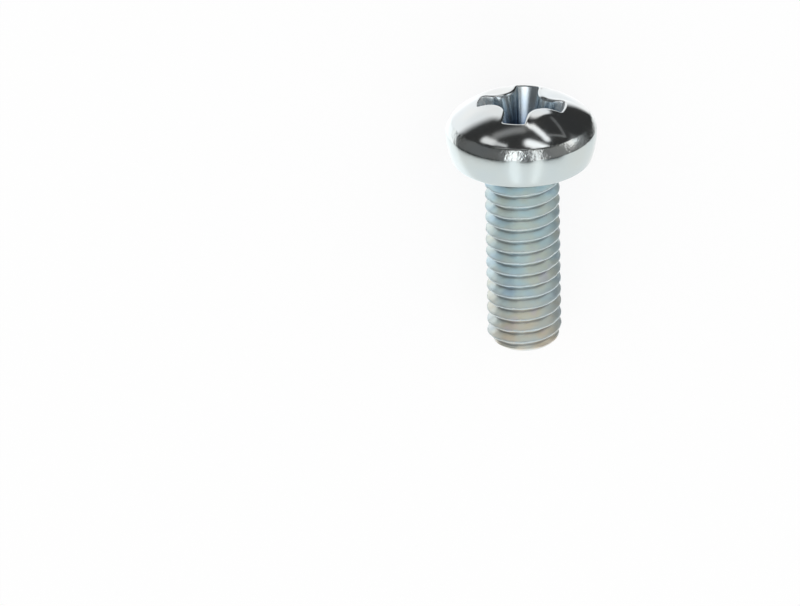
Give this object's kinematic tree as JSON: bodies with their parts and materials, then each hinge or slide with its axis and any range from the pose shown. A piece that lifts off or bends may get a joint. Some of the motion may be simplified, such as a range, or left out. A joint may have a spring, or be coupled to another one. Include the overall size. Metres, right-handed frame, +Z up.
{
  "type": "machine screw",
  "caption": "Raised-head machine screw with a cross recess, threaded up to its head, in bright zinc-plated steel.",
  "frame": {"origin": "on the surface the screw lies on, under the middle of its bounding box", "axes": "+X towards the head, +Y to the side, +Z up; the screw's own axis rises 9.9 degrees towards the head"},
  "size_m": [0.0215, 0.0118, 0.0118],
  "materials": {
    "zinc_plated_steel": "gloss"
  },
  "bodies": {
    "root": {"machine_screw": "zinc_plated_steel"}
  },
  "joints": []
}
